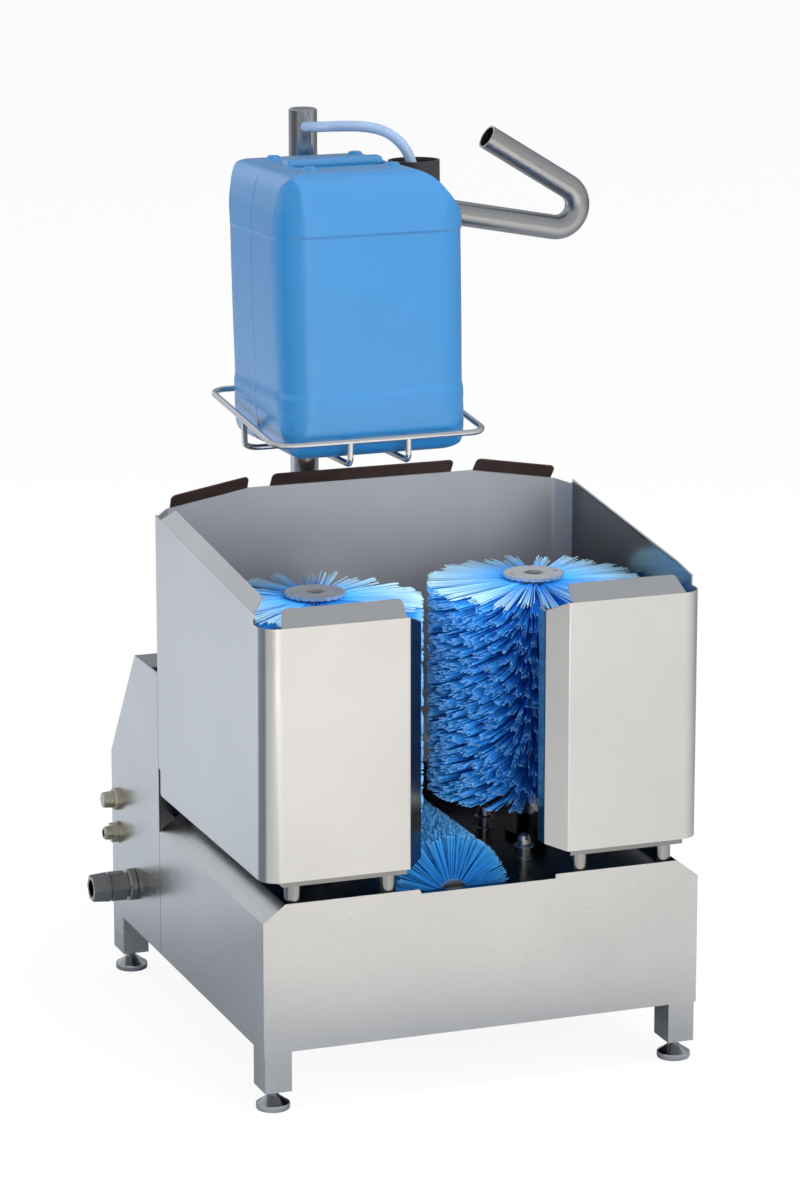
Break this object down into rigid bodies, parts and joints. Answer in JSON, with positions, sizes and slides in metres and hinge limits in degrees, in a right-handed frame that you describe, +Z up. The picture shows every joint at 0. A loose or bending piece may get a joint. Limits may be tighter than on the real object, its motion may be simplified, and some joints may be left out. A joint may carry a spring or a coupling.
{
  "type": "boot washer",
  "caption": "Free-standing stainless boot washer with upright and sole scrubbing brushes, a splash guard, a handrail and a jerrycan of cleaner in a wire basket.",
  "frame": {"origin": "on the floor, below the middle of the plan", "axes": "+Z up, -Y is the entry side, +X to the right of someone stepping in"},
  "size_m": [0.7097, 0.6621, 1.217],
  "materials": {
    "steel": "brushed",
    "deck_steel": "smooth",
    "aluminium": "cast",
    "cast_iron": "painted",
    "seal_rubber": "matt",
    "belt_rubber": "matt",
    "painted_metal": "satin",
    "brass": "plain",
    "white_plastic": "satin",
    "black_plastic": "satin",
    "blue_plastic": "satin",
    "hose_plastic": "smooth",
    "bristle": "satin"
  },
  "bodies": {
    "base": {"base_casing": "steel", "deck_plate": "deck_steel", "sole_trough": "deck_steel", "drain_spigot": "steel", "bulkhead": "steel", "housing_floor": "steel", "rear_housing": "steel", "legs": "steel", "deck_bearings": "deck_steel", "gearboxes": "aluminium", "guard_left": "steel", "guard_right": "steel", "guard_back": "steel", "guard_standoffs": "steel", "sole_front_bush": "seal_rubber", "sole_rear_seal": "seal_rubber", "bulkhead_bearings": "cast_iron", "drive_belt": "belt_rubber", "motor": "painted_metal", "motor_plate": "steel", "water_inlet": "steel", "solenoid_valve": "brass", "supply_pipe": "steel", "spray_nozzles": "steel", "dosing_injector": "white_plastic", "dosing_tube": "hose_plastic", "control_box": "white_plastic", "button_bezel": "steel", "switch_block": "black_plastic", "cable_gland": "brass", "post": "steel", "post_cap": "steel", "post_flange": "steel", "screws": "steel", "handrail": "steel", "basket": "steel", "basket_clamp": "steel", "canister": "blue_plastic", "canister_cap": "black_plastic", "hose": "hose_plastic"},
    "left_brush": {"left_brush": "bristle", "left_brush_disc": "steel", "left_brush_shaft": "steel"},
    "right_brush": {"right_brush": "bristle", "right_brush_disc": "steel", "right_brush_shaft": "steel"},
    "sole_brush": {"sole_brush": "bristle", "sole_shaft": "steel", "sole_pulley": "aluminium"},
    "left_lay": {"left_lay_shaft": "steel", "left_lay_pulley": "aluminium"},
    "right_lay": {"right_lay_shaft": "steel", "right_lay_pulley": "aluminium"},
    "motor_drive": {"motor_pulley": "steel"},
    "start_button": {"push_button": "steel"},
    "front_left_foot": {"front_left_foot": "steel"},
    "front_right_foot": {"front_right_foot": "steel"},
    "rear_left_foot": {"rear_left_foot": "steel"},
    "rear_right_foot": {"rear_right_foot": "steel"}
  },
  "joints": [
    {"name": "left_brush_spin", "type": "hinge", "parent": "base", "child": "left_brush", "pos_m": [-0.153, -0.112, 0.3], "axis": [0, 0, 1], "continuous": true},
    {"name": "right_brush_spin", "type": "hinge", "parent": "base", "child": "right_brush", "pos_m": [0.153, -0.112, 0.3], "axis": [0, 0, 1], "continuous": true},
    {"name": "sole_brush_spin", "type": "hinge", "parent": "base", "child": "sole_brush", "pos_m": [-0.028, -0.112, 0.252], "axis": [0, 1, 0], "continuous": true},
    {"name": "left_lay_spin", "type": "hinge", "parent": "base", "child": "left_lay", "pos_m": [-0.153, 0, 0.205], "axis": [0, 1, 0], "continuous": true},
    {"name": "right_lay_spin", "type": "hinge", "parent": "base", "child": "right_lay", "pos_m": [0.153, 0, 0.205], "axis": [0, 1, 0], "continuous": true},
    {"name": "motor_spin", "type": "hinge", "parent": "base", "child": "motor_drive", "pos_m": [0.06, 0.16, 0.14], "axis": [0, 1, 0], "continuous": true},
    {"name": "button_press", "type": "slide", "parent": "base", "child": "start_button", "axis": [1, 0, 0], "range_m": [0, 0.004], "stiffness_N_per_m": 600, "springref_m": -0.002},
    {"name": "front_left_foot_level", "type": "slide", "parent": "base", "child": "front_left_foot", "axis": [0, 0, 1], "range_m": [-0.02, 0.008]},
    {"name": "front_right_foot_level", "type": "slide", "parent": "base", "child": "front_right_foot", "axis": [0, 0, 1], "range_m": [-0.02, 0.008]},
    {"name": "rear_left_foot_level", "type": "slide", "parent": "base", "child": "rear_left_foot", "axis": [0, 0, 1], "range_m": [-0.02, 0.008]},
    {"name": "rear_right_foot_level", "type": "slide", "parent": "base", "child": "rear_right_foot", "axis": [0, 0, 1], "range_m": [-0.02, 0.008]}
  ],
  "couplings": [
    {"joint": "right_brush_spin", "follows": "left_brush_spin", "ratio": -1},
    {"joint": "sole_brush_spin", "follows": "left_brush_spin", "ratio": 3},
    {"joint": "left_lay_spin", "follows": "left_brush_spin", "ratio": 3},
    {"joint": "right_lay_spin", "follows": "left_brush_spin", "ratio": 3},
    {"joint": "motor_spin", "follows": "left_brush_spin", "ratio": 4.5}
  ]
}
